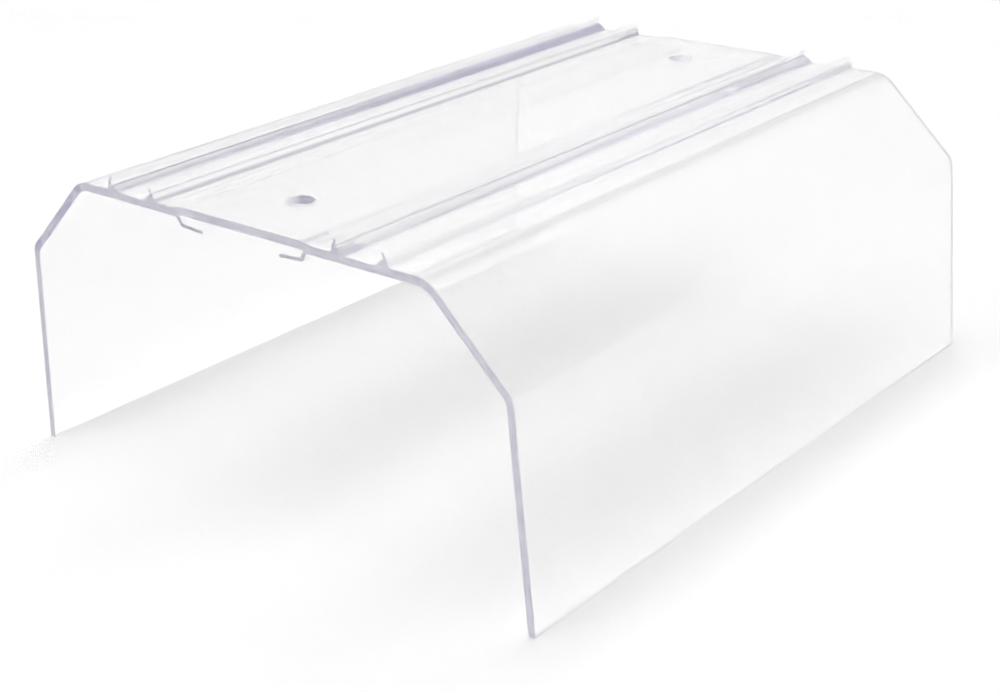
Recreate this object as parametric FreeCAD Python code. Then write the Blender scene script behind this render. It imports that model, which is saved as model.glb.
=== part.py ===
import FreeCAD, Part
import math
import os

# A clear hood-shaped cover profile, extruded in one piece, cut to length and drilled. It stands on its
# two legs, with X across it, Y along the extrusion and Z up, and the origin at the middle of its
# footprint. Widths are built up from the middle of the web outwards, and heights from the feet up.

# The cut length, in millimetres as all sizes here
length = 200.0

# Legs, which flare slightly, and the slopes between them and the web
leg_height = 56.3
leg_flare = 4.5
leg_wall = 2.0
slope_rise = 21.9
slope_run = 22.5
slope_wall = 2.1

# Outer radii where leg meets slope and where slope meets web, and the rounding of each foot's edges
shoulder_radius = 3.5
crown_radius = 8.0
foot_radius = 0.4

# The web, from the raised band at its middle to the plain strip at each edge
web_wall = 2.1
band_width = 42.0
band_raise = 0.65
step_run = 1.8
step_radius = 1.5
inner_strip = 6.7
edge_strip = 11.3

# Mounting channels on the web, each between the backs of two ribs
channel_width = 17.2
channel_recess = 0.3

# One rib: a base with a slope towards its channel, and a thin blade that leans over the channel
rib_height = 3.5
base_height = 1.5
base_draft = 0.3
base_top = 1.6
base_slope = 2.2
blade_wall = 0.7
blade_lean = 1.05

# Hooks under the edges of the band, which hold a flat strip between their lips and the web
hook_wall = 0.8
hook_offset = 0.75
hook_lean = 1.4
hook_radius = 0.9
strip_gap = 2.1
lip_reach = 7.5
lip_droop = 0.4

# Small roundings that the die leaves: in the roots of ribs and hooks, on the ribs' bases, and on the
# tips of blades and lips, where it is a share of their wall
root_radius = 0.25
edge_radius = 0.2
tip_rounding = 0.4

# Holes through the band, one near each end
hole_diameter = 7.0
hole_inset = 20.0

# Places across and up the section that follow from these sizes
web_height = leg_height + slope_rise
step_top = band_width / 2
step_foot = step_top + step_run
channel_inside = step_foot + inner_strip
channel_outside = channel_inside + channel_width
crown_x = channel_outside + edge_strip
shoulder_x = crown_x + slope_run
foot_x = shoulder_x + leg_flare


def inner_corner(before, corner, after, wall_before, wall_after):
    """Where the inner faces of two walls meet, from three outer corners and the wall on each side."""
    arriving = (corner[0] - before[0], corner[1] - before[1])
    leaving = (after[0] - corner[0], after[1] - corner[1])
    arriving_length = math.hypot(*arriving)
    leaving_length = math.hypot(*leaving)
    along = (arriving[0] / arriving_length, arriving[1] / arriving_length)
    normal_before = (-along[1], along[0])
    normal_after = (-leaving[1] / leaving_length, leaving[0] / leaving_length)
    cosine = normal_before[0] * normal_after[0] + normal_before[1] * normal_after[1]
    sine = along[0] * normal_after[0] + along[1] * normal_after[1]
    slide = (wall_after - wall_before * cosine) / sine
    x = corner[0] + normal_before[0] * wall_before + along[0] * slide
    z = corner[1] + normal_before[1] * wall_before + along[1] * slide
    return x, z


def rib(back_x, towards):
    """Corners of a rib from its back to the floor of its channel; towards is 1 or -1 along X."""
    blade_rise = rib_height - base_height
    blade_length = math.hypot(blade_lean, blade_rise)
    root_width = blade_wall * blade_length / blade_rise
    tip_x = base_draft + blade_lean
    tip_width = blade_wall * blade_rise / blade_length
    tip_drop = blade_wall * blade_lean / blade_length
    tip_radius = blade_wall * tip_rounding
    base_front = base_draft + base_top
    outline = [
        (0, 0, root_radius),
        (base_draft, base_height, 0),
        (tip_x, rib_height, tip_radius),
        (tip_x + tip_width, rib_height - tip_drop, tip_radius),
        (base_draft + root_width, base_height, root_radius),
        (base_front, base_height, edge_radius),
        (base_front + base_slope, -channel_recess, root_radius),
    ]
    return [(back_x + towards * across, web_height + up, radius) for across, up, radius in outline]


def hook():
    """Corners of the right-hand hook, from the web outside it, round its lip, to the band inside it."""
    outside = step_top + hook_offset
    lip_start = outside - hook_lean
    lip_tip = lip_start - lip_reach
    web_face = web_height - web_wall
    band_face = web_face + band_raise
    lip_top = band_face - strip_gap
    lip_bottom = lip_top - hook_wall
    tip_radius = hook_wall * tip_rounding
    return [
        (outside, web_face, root_radius),
        (lip_start, lip_bottom, hook_radius),
        (lip_tip, lip_bottom - lip_droop, tip_radius),
        (lip_tip, lip_top - lip_droop, tip_radius),
        (lip_start - hook_wall, lip_top, root_radius),
        (outside - hook_wall, band_face, root_radius),
    ]


def mirrored(corners):
    """The same corners on the other side of the middle, in the opposite order."""
    return [(-x, z, radius) for x, z, radius in reversed(corners)]


def rounded(corners):
    """A closed wire through (x, z, radius) corners, with an arc wherever the radius is above zero."""
    points = [FreeCAD.Vector(x, 0, z) for x, z, radius in corners]
    bends = []
    for index, corner in enumerate(points):
        radius = corners[index][2]
        back = (points[index - 1] - corner).normalize()
        ahead = (points[(index + 1) % len(points)] - corner).normalize()
        half_angle = back.getAngle(ahead) / 2
        reach = radius / math.tan(half_angle)
        depth = radius / math.sin(half_angle) - radius
        bisector = (back + ahead).normalize()
        bends.append((corner + back * reach, corner + bisector * depth, corner + ahead * reach))
    edges = []
    for index, (start, middle, end) in enumerate(bends):
        edges.append(Part.LineSegment(bends[index - 1][2], start).toShape())
        if corners[index][2] > 0:
            edges.append(Part.Arc(start, middle, end).toShape())
    return Part.Wire(edges)


def section():
    """The face that the die presses out, in the XZ plane."""
    middle = (0, 0)
    foot = (foot_x, 0)
    shoulder = (shoulder_x, leg_height)
    crown = (crown_x, web_height)
    band_edge = (step_top, web_height)
    inner_foot = inner_corner(middle, foot, shoulder, 0, leg_wall)
    inner_shoulder = inner_corner(foot, shoulder, crown, leg_wall, slope_wall)
    inner_crown = inner_corner(shoulder, crown, band_edge, slope_wall, web_wall)
    outer_half = [
        (*foot, foot_radius),
        (*shoulder, shoulder_radius),
        (*crown, crown_radius),
        *rib(channel_outside, -1),
        *reversed(rib(channel_inside, 1)),
        (step_foot, web_height, step_radius),
        (step_top, web_height + band_raise, step_radius),
    ]
    inner_half = [
        *reversed(hook()),
        (*inner_crown, max(crown_radius - slope_wall, 0)),
        (*inner_shoulder, max(shoulder_radius - leg_wall, 0)),
        (*inner_foot, foot_radius),
    ]
    return Part.Face(rounded(outer_half + mirrored(outer_half) + mirrored(inner_half) + inner_half))


def hole(end):
    """The path of the drill through the band; end is -1 at the front and 1 at the back."""
    stroke = slope_rise + rib_height
    start = FreeCAD.Vector(0, end * (length / 2 - hole_inset), leg_height)
    return Part.makeCylinder(hole_diameter / 2, stroke, start)


front_face = section()
front_face.translate(FreeCAD.Vector(0, -length / 2, 0))
bar = front_face.extrude(FreeCAD.Vector(0, length, 0))
cover_profile = bar.cut([hole(-1), hole(1)])

os.makedirs("parts", exist_ok=True)
cover_profile.exportStep("parts/cover_profile.step")
print("cover_profile:", round(cover_profile.Volume), "cubic mm, valid:", cover_profile.isValid())
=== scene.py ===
import math

import bmesh
import bpy
from mathutils import Matrix, Vector


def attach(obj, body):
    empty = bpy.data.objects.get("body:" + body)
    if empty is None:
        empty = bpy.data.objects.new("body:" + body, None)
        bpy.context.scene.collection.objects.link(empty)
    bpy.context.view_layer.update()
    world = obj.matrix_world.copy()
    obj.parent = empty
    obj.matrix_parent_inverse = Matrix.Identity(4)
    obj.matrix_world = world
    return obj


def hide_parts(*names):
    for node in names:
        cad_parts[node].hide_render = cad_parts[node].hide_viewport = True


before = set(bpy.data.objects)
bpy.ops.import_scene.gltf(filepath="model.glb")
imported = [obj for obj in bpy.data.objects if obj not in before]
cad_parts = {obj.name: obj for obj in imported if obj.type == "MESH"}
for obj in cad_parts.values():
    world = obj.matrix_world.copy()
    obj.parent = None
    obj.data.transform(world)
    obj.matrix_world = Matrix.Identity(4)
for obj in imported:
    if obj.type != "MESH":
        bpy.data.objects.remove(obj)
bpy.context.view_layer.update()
bpy.ops.object.select_all(action="DESELECT")

# Camera: the photograph looks down on the front end of the profile from its right, through a lens that
# is a little longer than normal, with a slight roll.
camera_place = (0.2953, -0.3587, 0.2146)
camera_heading = math.radians(40.105)
camera_pitch = math.radians(-23.449)
camera_roll = math.radians(-1.720)
camera_lens = 64.35
sensor_width = 36.0

bpy.ops.object.camera_add(location=camera_place)
camera = bpy.context.object
camera_turn = (
    Matrix.Rotation(camera_heading, 3, "Z")
    @ Matrix.Rotation(math.pi / 2 + camera_pitch, 3, "X")
    @ Matrix.Rotation(camera_roll, 3, "Z")
)
camera.rotation_euler = camera_turn.to_euler()
camera.data.lens = camera_lens
camera.data.sensor_width = sensor_width
camera.data.clip_start = 0.01
camera.data.clip_end = 100
bpy.context.scene.camera = camera
bpy.context.scene.view_settings.view_transform = "Standard"

# Floor: a plain white board, a hair under the feet, that takes the profile's soft shadow.
floor_size = 12.0
floor_gap = 0.00005
floor_colour = (0.98, 0.98, 0.98, 1)
floor_roughness = 0.9

bpy.ops.mesh.primitive_plane_add(size=floor_size, location=(0, 0, -floor_gap))
floor = bpy.context.object
floor.name = "studio_floor"
floor_paint = bpy.data.materials.new("white_board")
floor_paint.use_nodes = True
floor_shader = floor_paint.node_tree.nodes["Principled BSDF"]
floor_shader.inputs["Base Color"].default_value = floor_colour
floor_shader.inputs["Roughness"].default_value = floor_roughness
floor_shader.inputs["Specular IOR Level"].default_value = 0.0
floor.data.materials.append(floor_paint)

# Studio: white all round for what the camera sees directly, in a reflection or through the clear walls.
# What lights the floor is dimmer, with soft boxes overhead: each has its lean along X and along Y, in
# degrees, and its strength.
backdrop_strength = 1.0
fill_strength = 0.05
soft_boxes = [
    (-10, -30, 3.50),
    (-20, 0, 4.50),
    (16, 0, 1.11),
    (28, 0, 2.43),
    (-10, 30, 3.98),
]
box_edge = math.radians(22)

world = bpy.data.worlds.new("white_studio")
bpy.context.scene.world = world
world.use_nodes = True
studio = world.node_tree
world_nodes = studio.nodes
world_links = studio.links
world_nodes.clear()


def math_step(tree, kind, *values):
    """One arithmetic step in a node tree; each value is a number or a socket."""
    step = tree.nodes.new("ShaderNodeMath")
    step.operation = kind
    for socket, value in zip(step.inputs, values):
        if isinstance(value, (int, float)):
            socket.default_value = value
        else:
            tree.links.new(value, socket)
    return step.outputs[0]


path = world_nodes.new("ShaderNodeLightPath")
mirrored = math_step(studio, "MAXIMUM", path.outputs["Is Glossy Ray"], path.outputs["Is Transmission Ray"])
before_floor = math_step(studio, "LESS_THAN", path.outputs["Diffuse Depth"], 0.5)
through_walls = math_step(studio, "MULTIPLY", mirrored, before_floor)
shown = math_step(studio, "MAXIMUM", path.outputs["Is Camera Ray"], through_walls)
sky = world_nodes.new("ShaderNodeTexCoord")
level = fill_strength
for lean_x, lean_y, strength in soft_boxes:
    towards_box = world_nodes.new("ShaderNodeVectorMath")
    towards_box.operation = "DOT_PRODUCT"
    leaning = Vector((math.tan(math.radians(lean_x)), math.tan(math.radians(lean_y)), 1))
    towards_box.inputs[1].default_value = leaning.normalized()
    world_links.new(sky.outputs["Generated"], towards_box.inputs[0])
    soft_box = world_nodes.new("ShaderNodeMapRange")
    soft_box.interpolation_type = "SMOOTHSTEP"
    soft_box.inputs["From Min"].default_value = math.cos(box_edge)
    soft_box.inputs["To Max"].default_value = strength
    world_links.new(towards_box.outputs["Value"], soft_box.inputs["Value"])
    level = math_step(studio, "ADD", soft_box.outputs[0], level)
lighting = world_nodes.new("ShaderNodeBackground")
lighting.inputs["Color"].default_value = (1, 1, 1, 1)
world_links.new(level, lighting.inputs["Strength"])
backdrop = world_nodes.new("ShaderNodeBackground")
backdrop.inputs["Color"].default_value = (1, 1, 1, 1)
backdrop.inputs["Strength"].default_value = backdrop_strength
either = world_nodes.new("ShaderNodeMixShader")
world_links.new(shown, either.inputs["Fac"])
world_links.new(lighting.outputs[0], either.inputs[1])
world_links.new(backdrop.outputs[0], either.inputs[2])
world_output = world_nodes.new("ShaderNodeOutputWorld")
world_links.new(either.outputs[0], world_output.inputs["Surface"])

# Light that enters a clear rib or the end of a wall is turned back many times before it leaves. The rays
# find the studio by themselves, so it isn't sampled as a lamp, and the denoiser sees only the colours.
clear_bounces = 160
floor_bounces = 4
bpy.context.scene.cycles.max_bounces = clear_bounces
bpy.context.scene.cycles.transmission_bounces = clear_bounces
bpy.context.scene.cycles.glossy_bounces = clear_bounces
bpy.context.scene.cycles.diffuse_bounces = floor_bounces
bpy.context.scene.cycles.blur_glossy = 0
bpy.context.scene.cycles.denoising_input_passes = "RGB"
world.cycles.sampling_method = "NONE"

# Cover profile: one clear polycarbonate extrusion. The die gives the whole section at once, with its
# ribbed channels and hooks; the bar is then sawn to length and drilled through the raised band. Here the
# step beside the band is gentler than in the solid, and the feet are crisper and a hair further in.
mm = 0.001
length = 200 * mm
leg_height = 56.3 * mm
leg_flare = 4.48 * mm
leg_wall = 2.0 * mm
slope_rise = 21.9 * mm
slope_run = 22.5 * mm
slope_wall = 2.1 * mm
shoulder_radius = 3.5 * mm
crown_radius = 8.0 * mm
foot_radius = 0.2 * mm
web_wall = 2.1 * mm
band_width = 40.4 * mm
band_raise = 0.65 * mm
step_run = 3.4 * mm
step_radius = 6.0 * mm
inner_strip = 5.9 * mm
edge_strip = 11.3 * mm
channel_width = 17.2 * mm
channel_recess = 0.3 * mm
rib_height = 3.5 * mm
base_height = 1.5 * mm
base_draft = 0.3 * mm
base_top = 1.6 * mm
base_slope = 2.2 * mm
blade_wall = 0.7 * mm
blade_lean = 1.05 * mm
hook_wall = 0.8 * mm
hook_offset = 1.55 * mm
hook_lean = 1.4 * mm
hook_radius = 0.9 * mm
strip_gap = 2.1 * mm
lip_reach = 7.5 * mm
lip_droop = 0.4 * mm
root_radius = 0.25 * mm
edge_radius = 0.2 * mm
tip_rounding = 0.4
hole_diameter = 7.0 * mm
hole_inset = 20.0 * mm
sawn_chamfer = 0.08 * mm

web_height = leg_height + slope_rise
step_top = band_width / 2
step_foot = step_top + step_run
channel_inside = step_foot + inner_strip
channel_outside = channel_inside + channel_width
crown_x = channel_outside + edge_strip
shoulder_x = crown_x + slope_run
foot_x = shoulder_x + leg_flare


def inner_corner(before, corner, after, wall_before, wall_after):
    """Where the inner faces of two walls meet, from three outer corners and the wall on each side."""
    arriving = (Vector(corner) - Vector(before)).normalized()
    leaving = (Vector(after) - Vector(corner)).normalized()
    normal_before = Vector((-arriving.y, arriving.x))
    normal_after = Vector((-leaving.y, leaving.x))
    slide = (wall_after - wall_before * normal_before.dot(normal_after)) / arriving.dot(normal_after)
    return Vector(corner) + normal_before * wall_before + arriving * slide


def rib_corners(back_x, towards):
    """Corners of a rib from its back to the floor of its channel; towards is 1 or -1 along X."""
    blade_rise = rib_height - base_height
    blade_length = math.hypot(blade_lean, blade_rise)
    root_width = blade_wall * blade_length / blade_rise
    tip_x = base_draft + blade_lean
    tip_width = blade_wall * blade_rise / blade_length
    tip_drop = blade_wall * blade_lean / blade_length
    tip_radius = blade_wall * tip_rounding
    base_front = base_draft + base_top
    corners = [
        (0, 0, root_radius),
        (base_draft, base_height, 0),
        (tip_x, rib_height, tip_radius),
        (tip_x + tip_width, rib_height - tip_drop, tip_radius),
        (base_draft + root_width, base_height, root_radius),
        (base_front, base_height, edge_radius),
        (base_front + base_slope, -channel_recess, root_radius),
    ]
    return [(back_x + towards * across, web_height + up, radius) for across, up, radius in corners]


def hook_corners():
    """Corners of the hook on the right, from the web outside it, round its lip, to the band inside it."""
    outside = step_top + hook_offset
    lip_start = outside - hook_lean
    lip_tip = lip_start - lip_reach
    web_face = web_height - web_wall
    band_face = web_face + band_raise
    lip_top = band_face - strip_gap
    lip_bottom = lip_top - hook_wall
    tip_radius = hook_wall * tip_rounding
    return [
        (outside, web_face, root_radius),
        (lip_start, lip_bottom, hook_radius),
        (lip_tip, lip_bottom - lip_droop, tip_radius),
        (lip_tip, lip_top - lip_droop, tip_radius),
        (lip_start - hook_wall, lip_top, root_radius),
        (outside - hook_wall, band_face, root_radius),
    ]


foot = (foot_x, 0)
shoulder = (shoulder_x, leg_height)
crown = (crown_x, web_height)
inner_foot = inner_corner((0, 0), foot, shoulder, 0, leg_wall)
inner_shoulder = inner_corner(foot, shoulder, crown, leg_wall, slope_wall)
inner_crown = inner_corner(shoulder, crown, (step_top, web_height), slope_wall, web_wall)
half_section = [
    (0, web_height - web_wall + band_raise, 0),
    *reversed(hook_corners()),
    (*inner_crown, crown_radius - slope_wall),
    (*inner_shoulder, shoulder_radius - leg_wall),
    (*inner_foot, foot_radius),
    (*foot, foot_radius),
    (*shoulder, shoulder_radius),
    (*crown, crown_radius),
    *rib_corners(channel_outside, -1),
    *reversed(rib_corners(channel_inside, 1)),
    (step_foot, web_height, step_radius),
    (step_top, web_height + band_raise, step_radius),
    (0, web_height + band_raise, 0),
]


def open_mesh(obj):
    """Edit mode on one object, with its mesh to select in."""
    bpy.context.view_layer.objects.active = obj
    bpy.ops.object.mode_set(mode="EDIT")
    return bmesh.from_edit_mesh(obj.data)


def pick(mesh, kind, test):
    """Selects only the vertices or faces that pass the test."""
    bpy.ops.mesh.select_mode(type={"verts": "VERT", "faces": "FACE"}[kind])
    bpy.ops.mesh.select_all(action="DESELECT")
    for part in getattr(mesh, kind):
        part.select = test(part)
    mesh.select_flush_mode()


# The outline starts as one vertex under the middle of the band and is drawn corner by corner, a
# chamfer's width inside the front end.
start_x, start_z, _ = half_section[0]
front_y = -length / 2 + sawn_chamfer
bpy.ops.mesh.primitive_plane_add(size=mm, location=(start_x, front_y, start_z))
bar = bpy.context.object
bar.name = "clear_hood"
bpy.ops.object.transform_apply(location=True, rotation=True, scale=True)
open_mesh(bar)
bpy.ops.mesh.select_all(action="SELECT")
bpy.ops.mesh.merge(type="CENTER")
for (x, z, _), (next_x, next_z, _) in zip(half_section, half_section[1:]):
    bpy.ops.mesh.extrude_region_move(TRANSFORM_OT_translate={"value": (next_x - x, 0, next_z - z)})

# Each corner is then rounded by its own radius.
arc_step = math.radians(4)
fewest_steps = 3
touching = 0.001 * mm
outline = bmesh.from_edit_mesh(bar.data)
for x, z, radius in half_section:
    if radius == 0:
        continue
    corner = Vector((x, front_y, z))
    pick(outline, "verts", lambda vertex: (vertex.co - corner).length < touching)
    vertex = next(v for v in outline.verts if v.select)
    arms = [(edge.other_vert(vertex).co - corner).normalized() for edge in vertex.link_edges]
    turn = math.pi - arms[0].angle(arms[1])
    bpy.ops.mesh.bevel(
        offset=radius * math.tan(turn / 2),
        offset_type="OFFSET",
        segments=max(fewest_steps, math.ceil(turn / arc_step)),
        profile=0.5,
        affect="VERTICES",
    )
    outline = bmesh.from_edit_mesh(bar.data)
bpy.ops.object.mode_set(mode="OBJECT")

# The other half is its mirror image. The closed outline is filled and pressed out along Y, and each
# sawn end is inset and drawn out to leave its rim with a small chamfer.
mirror = bar.modifiers.new("other_half", "MIRROR")
mirror.use_axis = (True, False, False)
mirror.merge_threshold = touching
bpy.ops.object.modifier_apply(modifier=mirror.name)
open_mesh(bar)
bpy.ops.mesh.select_all(action="SELECT")
bpy.ops.mesh.edge_face_add()
bpy.ops.mesh.extrude_region_move(TRANSFORM_OT_translate={"value": (0, length - 2 * sawn_chamfer, 0)})
bpy.ops.mesh.select_all(action="SELECT")
bpy.ops.mesh.normals_make_consistent(inside=False)
solid = bmesh.from_edit_mesh(bar.data)
pick(solid, "faces", lambda face: abs(face.normal.y) > 0.9)
bpy.ops.mesh.inset(thickness=sawn_chamfer, depth=sawn_chamfer, use_even_offset=True, use_individual=True)
bpy.ops.object.mode_set(mode="OBJECT")

# One hole near each end is drilled straight down through the band.
drill_sides = 96
drill_length = 20 * mm
for end in (-1, 1):
    bpy.ops.object.select_all(action="DESELECT")
    bpy.ops.mesh.primitive_cylinder_add(
        vertices=drill_sides,
        radius=hole_diameter / 2,
        depth=drill_length,
        location=(0, end * (length / 2 - hole_inset), web_height),
    )
    drill = bpy.context.object
    bpy.context.view_layer.objects.active = bar
    cut = bar.modifiers.new("drilled_hole", "BOOLEAN")
    cut.operation = "DIFFERENCE"
    cut.solver = "EXACT"
    cut.object = drill
    bpy.ops.object.modifier_apply(modifier=cut.name)
    bpy.data.objects.remove(drill)

# Smooth round the bends, true on the flats.
sharpest_smooth = math.radians(30)
bpy.ops.object.select_all(action="DESELECT")
bar.select_set(True)
bpy.context.view_layer.objects.active = bar
bpy.ops.object.shade_smooth_by_angle(angle=sharpest_smooth)
weigh = bar.modifiers.new("flat_walls", "WEIGHTED_NORMAL")
weigh.keep_sharp = True
weigh.weight = 100
bpy.ops.object.modifier_apply(modifier=weigh.name)

# Finish: polished by the die everywhere, and matt where the saw and the drill went through. The plastic
# has a weak violet tone of its own, which shows where light has come a long way inside it.
plastic_ior = 1.586
plastic_tone = (0.30, 0.25, 0.48, 1)
plastic_density = 1.35

clear = bpy.data.materials.new("clear_polycarbonate")
clear.use_nodes = True
nodes = clear.node_tree.nodes
links = clear.node_tree.links
shader = nodes["Principled BSDF"]
shader.inputs["Transmission Weight"].default_value = 1.0
shader.inputs["IOR"].default_value = plastic_ior
absorb = nodes.new("ShaderNodeVolumeAbsorption")
absorb.inputs["Color"].default_value = plastic_tone
absorb.inputs["Density"].default_value = plastic_density
links.new(absorb.outputs[0], nodes["Material Output"].inputs["Volume"])


def step_of(kind, *values):
    """One arithmetic step of the plastic."""
    return math_step(clear.node_tree, kind, *values)


def both(first, second):
    """1 where two masks are 1."""
    return step_of("MULTIPLY", first, second)


def within(place, low, high):
    """1 where a place lies between two limits."""
    return both(step_of("GREATER_THAN", place, low), step_of("LESS_THAN", place, high))


def ramp(place, start, stop):
    """0 at the start and 1 at the stop, smooth between them."""
    slope = nodes.new("ShaderNodeMapRange")
    slope.interpolation_type = "SMOOTHSTEP"
    slope.inputs["From Min"].default_value = start
    slope.inputs["From Max"].default_value = stop
    links.new(place, slope.inputs["Value"])
    return slope.outputs[0]


def round_line(place, line, reach):
    """1 on a line, fading to 0 at its reach on both sides."""
    return ramp(step_of("ABSOLUTE", step_of("SUBTRACT", place, line)), reach, 0)


def tinted(under, tint, where, blend="MIX"):
    """The colour under it, changed to a tint where the mask is 1."""
    layer = nodes.new("ShaderNodeMix")
    layer.data_type = "RGBA"
    layer.blend_type = blend
    layer.inputs["B"].default_value = tint
    links.new(where, layer.inputs["Factor"])
    if isinstance(under, tuple):
        layer.inputs["A"].default_value = under
    else:
        links.new(under, layer.inputs["A"])
    return layer.outputs["Result"]


def grain(scale, detail=0.0):
    """Noise on the object, with its own scale along X, Y and Z."""
    stretch = nodes.new("ShaderNodeMapping")
    stretch.inputs["Scale"].default_value = scale
    links.new(coords.outputs["Object"], stretch.inputs["Vector"])
    noise = nodes.new("ShaderNodeTexNoise")
    noise.inputs["Scale"].default_value = 1.0
    noise.inputs["Detail"].default_value = detail
    links.new(stretch.outputs[0], noise.inputs["Vector"])
    return noise.outputs["Fac"]


coords = nodes.new("ShaderNodeTexCoord")
axes = nodes.new("ShaderNodeSeparateXYZ")
links.new(coords.outputs["Object"], axes.inputs[0])
across, along, up = axes.outputs
from_centre = step_of("ABSOLUTE", across)
from_middle = step_of("ABSOLUTE", along)

# The saw left both ends matt and the drill both bores.
cut_depth = 0.1 * mm
sawn = step_of("GREATER_THAN", from_middle, length / 2 - cut_depth)
along_hole = step_of("SUBTRACT", from_middle, length / 2 - hole_inset)
along_squared = step_of("MULTIPLY", along_hole, along_hole)
across_squared = step_of("MULTIPLY", across, across)
from_axis = step_of("SQRT", step_of("ADD", along_squared, across_squared))
bored = step_of("LESS_THAN", from_axis, hole_diameter / 2 + cut_depth)
cut_face = step_of("MAXIMUM", sawn, bored)

# Saw marks run down the cut faces, and faint draw lines run along the walls from the die.
wall_roughness = 0.025
cut_roughness = 0.40
saw_roughness = 0.15
saw_scale = (1500, 60, 90)
draw_scale = (300, 2, 300)
draw_depth = 0.06
mark_height = 0.01 * mm
saw_marks = grain(saw_scale)
draw_lines = grain(draw_scale)
cut_finish = step_of("MULTIPLY_ADD", saw_marks, saw_roughness, cut_roughness)
links.new(step_of("MULTIPLY_ADD", cut_face, cut_finish, wall_roughness), shader.inputs["Roughness"])
saw_height = both(cut_face, saw_marks)
relief = nodes.new("ShaderNodeBump")
relief.inputs["Distance"].default_value = mark_height
links.new(step_of("MULTIPLY_ADD", draw_lines, draw_depth, saw_height), relief.inputs["Height"])
links.new(relief.outputs[0], shader.inputs["Normal"])

# Walls and band are painted a shade greyer than the hooks and the zone from the band's edge to the outer
# ribs.
# This grey is painted shade, standing in for darker surroundings reflected in the clear walls.
wall_painted_shade = (0.948, 0.948, 0.948, 1)
thin_part_painted_shade = (0.985, 0.985, 0.985, 1)
rib_margin = 0.5 * mm
web_margin = 0.3 * mm
hook_depth = 5 * mm
hook_margin = 0.02 * mm
web_face = web_height - web_wall
on_web = step_of("GREATER_THAN", up, web_face - web_margin)
strips = both(on_web, within(from_centre, step_top, channel_outside + rib_margin))
below_web = within(up, web_face - hook_depth, web_face - hook_margin)
hooks = both(below_web, step_of("LESS_THAN", from_centre, step_foot))
tone = tinted(wall_painted_shade, thin_part_painted_shade, step_of("MAXIMUM", strips, hooks))

# A soft grey line of painted shade follows the top of each bend.
bend_painted_shade = (0.70, 0.70, 0.70, 1)
bend_line = 57.0 * mm
bend_reach = 2.1 * mm
bend_drop = 1.2 * mm
above_bend = step_of("GREATER_THAN", up, web_height - bend_drop)
tone = tinted(tone, bend_painted_shade, both(above_bend, round_line(from_centre, bend_line, bend_reach)))


def rib_patch(back_x, reach, rise):
    """1 on a strip of both ribs: its limits in mm, outward from their backs and up from the web."""
    near, far = (back_x + edge * mm for edge in reach)
    low, high = (web_height + edge * mm for edge in rise)
    return both(within(from_centre, near, far), within(up, low, high))


# Painted shade in the rib roots, for light lost inside the clear ribs: behind the inner ones, at the root
# of their blades, faintly behind the outer ones near the front, and in violet on the slopes to the
# channels,
# more towards the far end.
inner_back_painted_shade = (0.50, 0.49, 0.54, 1)
inner_blade_painted_shade = (0.52, 0.51, 0.54, 1)
inner_slope_painted_shade = (0.80, 0.785, 0.87, 1)
outer_slope_painted_shade = (0.60, 0.58, 0.76, 1)
outer_back_painted_shade = (0.86, 0.86, 0.88, 1)
near_end = ramp(along, length / 3, -length / 3)
far_end = ramp(along, -length / 2, length / 3)
inner_back = rib_patch(channel_inside, reach=(-0.9, 0.4), rise=(-0.1, 0.75))
inner_blade = rib_patch(channel_inside, reach=(0.7, 1.5), rise=(1.45, 1.95))
inner_slope = rib_patch(channel_inside, reach=(2.9, 4.3), rise=(-0.35, 0.6))
outer_slope = rib_patch(channel_outside, reach=(-4.4, -1.4), rise=(-0.35, 1.6))
outer_back = rib_patch(channel_outside, reach=(-0.5, 0.2), rise=(0, 1))
tone = tinted(tone, inner_back_painted_shade, inner_back)
tone = tinted(tone, inner_blade_painted_shade, inner_blade)
tone = tinted(tone, inner_slope_painted_shade, both(far_end, inner_slope))
tone = tinted(tone, outer_slope_painted_shade, both(far_end, outer_slope))
tone = tinted(tone, outer_back_painted_shade, both(near_end, outer_back))

# Cut faces are painted lavender: the plastic's violet, darkened as painted shade for light lost along the
# sheet, with paler patches at random. Painted shade is darkest down the left slope, on the hook ends and
# the near bore's right.
# Painted light is palest just right of the band's middle. The far end, its bore and the left of the near
# bore
# look pale in the photo and stay pale, without the painted shade.
cut_violet_and_shade = (0.57, 0.57, 0.625, 1)
slope_cut_painted_shade = (0.30, 0.28, 0.46, 1)
band_cut_painted_light = (0.80, 0.80, 0.83, 1)
patch_tint = (0.74, 0.75, 0.78, 1)
hook_cut_painted_shade = (0.42, 0.42, 0.47, 1)
bore_painted_shade = (0.42, 0.41, 0.48, 1)
pale_cut_tint = (0.97, 0.97, 0.98, 1)
left_slope_side = (-54 * mm, -60 * mm)
left_slope_rise = (50 * mm, 60 * mm)
band_pale_line = 8 * mm
band_pale_reach = 14 * mm
patch_scale = (260, 260, 260)
patch_detail = 3.0
patch_levels = (0.42, 0.62)
bore_left_side = (-2.2 * mm, -3.4 * mm)
left_slope = both(ramp(across, *left_slope_side), ramp(up, *left_slope_rise))
band_pale = round_line(across, band_pale_line, band_pale_reach)
patches = ramp(grain(patch_scale, patch_detail), *patch_levels)
bore_left = both(bored, ramp(across, *bore_left_side))
pale_cut = step_of("MAXIMUM", step_of("GREATER_THAN", along, 0), bore_left)
tone = tinted(tone, cut_violet_and_shade, cut_face)
tone = tinted(tone, slope_cut_painted_shade, both(sawn, left_slope))
tone = tinted(tone, band_cut_painted_light, both(sawn, band_pale))
tone = tinted(tone, patch_tint, both(sawn, patches))
tone = tinted(tone, hook_cut_painted_shade, both(sawn, hooks))
tone = tinted(tone, bore_painted_shade, bored)
tone = tinted(tone, pale_cut_tint, both(cut_face, pale_cut))

# Painted shade: the web is made slightly greyer towards its far end.
far_painted_shade = (0.95, 0.95, 0.95, 1)
tone = tinted(tone, far_painted_shade, both(on_web, ramp(along, -length / 4, length / 2)), "MULTIPLY")
links.new(tone, shader.inputs["Base Color"])

bar.data.materials.append(clear)
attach(bar, "root")
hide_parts("cover_profile")
